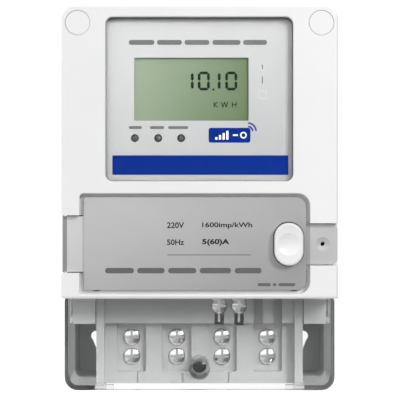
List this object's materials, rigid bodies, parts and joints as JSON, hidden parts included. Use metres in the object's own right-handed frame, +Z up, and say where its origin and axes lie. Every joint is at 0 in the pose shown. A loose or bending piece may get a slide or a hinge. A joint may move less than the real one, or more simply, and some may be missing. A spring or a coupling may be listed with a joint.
{
  "type": "prepaid electricity meter",
  "caption": "Wall-mounted box meter with a framed display window, a hinged module door, a push button and a clear cover over its screw terminals.",
  "frame": {"origin": "centre of the back face, where the housing meets the wall", "axes": "+Z up along the height, +X to the right seen from the front, +Y into the wall, so the front faces -Y"},
  "size_m": [0.1124, 0.058, 0.157],
  "materials": {
    "base_grey": "moulded grey plastic, satin grain",
    "battery_wrap": "green printed sleeve, no lettering",
    "block_grey": "moulded grey flame-retardant plastic",
    "board_green": "solder-masked glass fibre board",
    "brass": "machined brass",
    "button_white": "smooth white plastic",
    "can_sleeve": "shrink-sleeved can",
    "chip_black": "moulded black epoxy",
    "clear_cover": "clear moulded plastic",
    "clear_lens": "clear polished plastic",
    "copper": "bare copper",
    "core_steel": "stacked laminations",
    "cover_white": "moulded white plastic, fine satin grain",
    "display_glass": "green reflective display",
    "door_grey": "moulded grey plastic, fine texture",
    "frame_plastic": "white display frame plastic",
    "lead_red": "insulated lead",
    "lead_white": "insulated lead",
    "led_body": "smoked light body",
    "light_guide": "frosted light plate",
    "module_blue": "dark module case",
    "pin_metal": "tinned pins",
    "plate_print": "printed plastic plate, light grey with a blue band",
    "relay_black": "black relay case",
    "screw_black": "black oxide steel screw",
    "screw_steel": "zinc plated steel",
    "seal_rubber": "black elastomer",
    "shunt_alloy": "resistance alloy",
    "spring_steel": "spring wire",
    "varistor_blue": "blue epoxy coating",
    "winding_tape": "yellow tape over copper winding"
  },
  "bodies": {
    "housing": {"base_shell": "base_grey", "front_cover": "cover_white", "cover_gasket": "seal_rubber", "screw_plugs": "cover_white", "cover_screws": "screw_steel", "window_lens": "clear_lens", "nameplate": "plate_print", "lcd_glass": "display_glass", "lcd_frame": "frame_plastic", "lcd_backlight": "light_guide", "lcd_pins": "pin_metal", "status_leds": "led_body", "led_spacers": "chip_black", "main_board": "board_green", "board_screws": "screw_steel", "metering_chip": "chip_black", "controller_chip": "chip_black", "chip_pins": "pin_metal", "capacitors": "can_sleeve", "varistor": "varistor_blue", "transformer_core": "core_steel", "transformer_winding": "winding_tape", "transformer_bobbin": "frame_plastic", "backup_battery": "battery_wrap", "lead_connector": "frame_plastic", "latching_relay": "relay_black", "relay_blades": "copper", "busbar_phase_in": "copper", "current_shunt": "shunt_alloy", "busbar_phase_out": "copper", "neutral_link": "copper", "terminal_cages": "brass", "aux_cages": "brass", "terminal_block": "block_grey", "terminal_block_screws": "screw_steel", "coil_leads": "lead_white", "sense_leads": "lead_red", "comm_module_case": "module_blue", "comm_module_board": "board_green", "comm_module_header": "chip_black", "module_socket": "chip_black", "module_antenna": "copper", "button_spring": "spring_steel", "switch_body": "chip_black", "door_hinge_pin": "screw_steel"},
    "door": {"module_door": "door_grey"},
    "button": {"push_button": "button_white"},
    "plunger": {"switch_plunger": "lead_red"},
    "clear_cover": {"terminal_cover": "clear_cover"},
    "cover_screw": {"terminal_cover_screw": "screw_black"},
    "clamp_1": {"terminal_screw_1": "screw_steel"},
    "clamp_2": {"terminal_screw_2": "screw_steel"},
    "clamp_3": {"terminal_screw_3": "screw_steel"},
    "clamp_4": {"terminal_screw_4": "screw_steel"},
    "clamp_5": {"terminal_screw_5": "screw_steel"},
    "clamp_6": {"terminal_screw_6": "screw_steel"},
    "clamp_7": {"terminal_screw_7": "screw_steel"},
    "clamp_8": {"terminal_screw_8": "screw_steel"},
    "aux_clamp_1": {"aux_screw_1": "screw_steel"},
    "aux_clamp_2": {"aux_screw_2": "screw_steel"}
  },
  "joints": [
    {"name": "door_hinge", "type": "hinge", "parent": "housing", "child": "door", "pos_m": [-0.0542, -0.052, -0.0186], "axis": [0, 0, -1], "range_deg": [0, 110]},
    {"name": "button_press", "type": "slide", "parent": "housing", "child": "button", "axis": [0, 1, 0], "range_m": [0, 0.0012], "stiffness_N_per_m": 900, "springref_m": -0.001, "deforming": ["button_spring"]},
    {"name": "plunger_press", "type": "slide", "parent": "housing", "child": "plunger", "axis": [0, 1, 0], "range_m": [0, 0.0012]},
    {"name": "cover_removal", "type": "slide", "parent": "housing", "child": "clear_cover", "axis": [0, -1, 0], "range_m": [0, 0.04]},
    {"name": "cover_screw_travel", "type": "slide", "parent": "clear_cover", "child": "cover_screw", "axis": [0, -1, 0], "range_m": [0, 0.006]},
    {"name": "clamp_1_travel", "type": "slide", "parent": "housing", "child": "clamp_1", "axis": [0, 1, 0], "range_m": [-0.004, 0.004]},
    {"name": "clamp_2_travel", "type": "slide", "parent": "housing", "child": "clamp_2", "axis": [0, 1, 0], "range_m": [-0.004, 0.004]},
    {"name": "clamp_3_travel", "type": "slide", "parent": "housing", "child": "clamp_3", "axis": [0, 1, 0], "range_m": [-0.004, 0.004]},
    {"name": "clamp_4_travel", "type": "slide", "parent": "housing", "child": "clamp_4", "axis": [0, 1, 0], "range_m": [-0.004, 0.004]},
    {"name": "clamp_5_travel", "type": "slide", "parent": "housing", "child": "clamp_5", "axis": [0, 1, 0], "range_m": [-0.004, 0.004]},
    {"name": "clamp_6_travel", "type": "slide", "parent": "housing", "child": "clamp_6", "axis": [0, 1, 0], "range_m": [-0.004, 0.004]},
    {"name": "clamp_7_travel", "type": "slide", "parent": "housing", "child": "clamp_7", "axis": [0, 1, 0], "range_m": [-0.004, 0.004]},
    {"name": "clamp_8_travel", "type": "slide", "parent": "housing", "child": "clamp_8", "axis": [0, 1, 0], "range_m": [-0.004, 0.004]},
    {"name": "aux_clamp_1_travel", "type": "slide", "parent": "housing", "child": "aux_clamp_1", "axis": [0, 1, 0], "range_m": [-0.003, 0.0002]},
    {"name": "aux_clamp_2_travel", "type": "slide", "parent": "housing", "child": "aux_clamp_2", "axis": [0, 1, 0], "range_m": [-0.003, 0.0002]}
  ],
  "couplings": [
    {"joint": "plunger_press", "follows": "button_press", "ratio": 1}
  ]
}
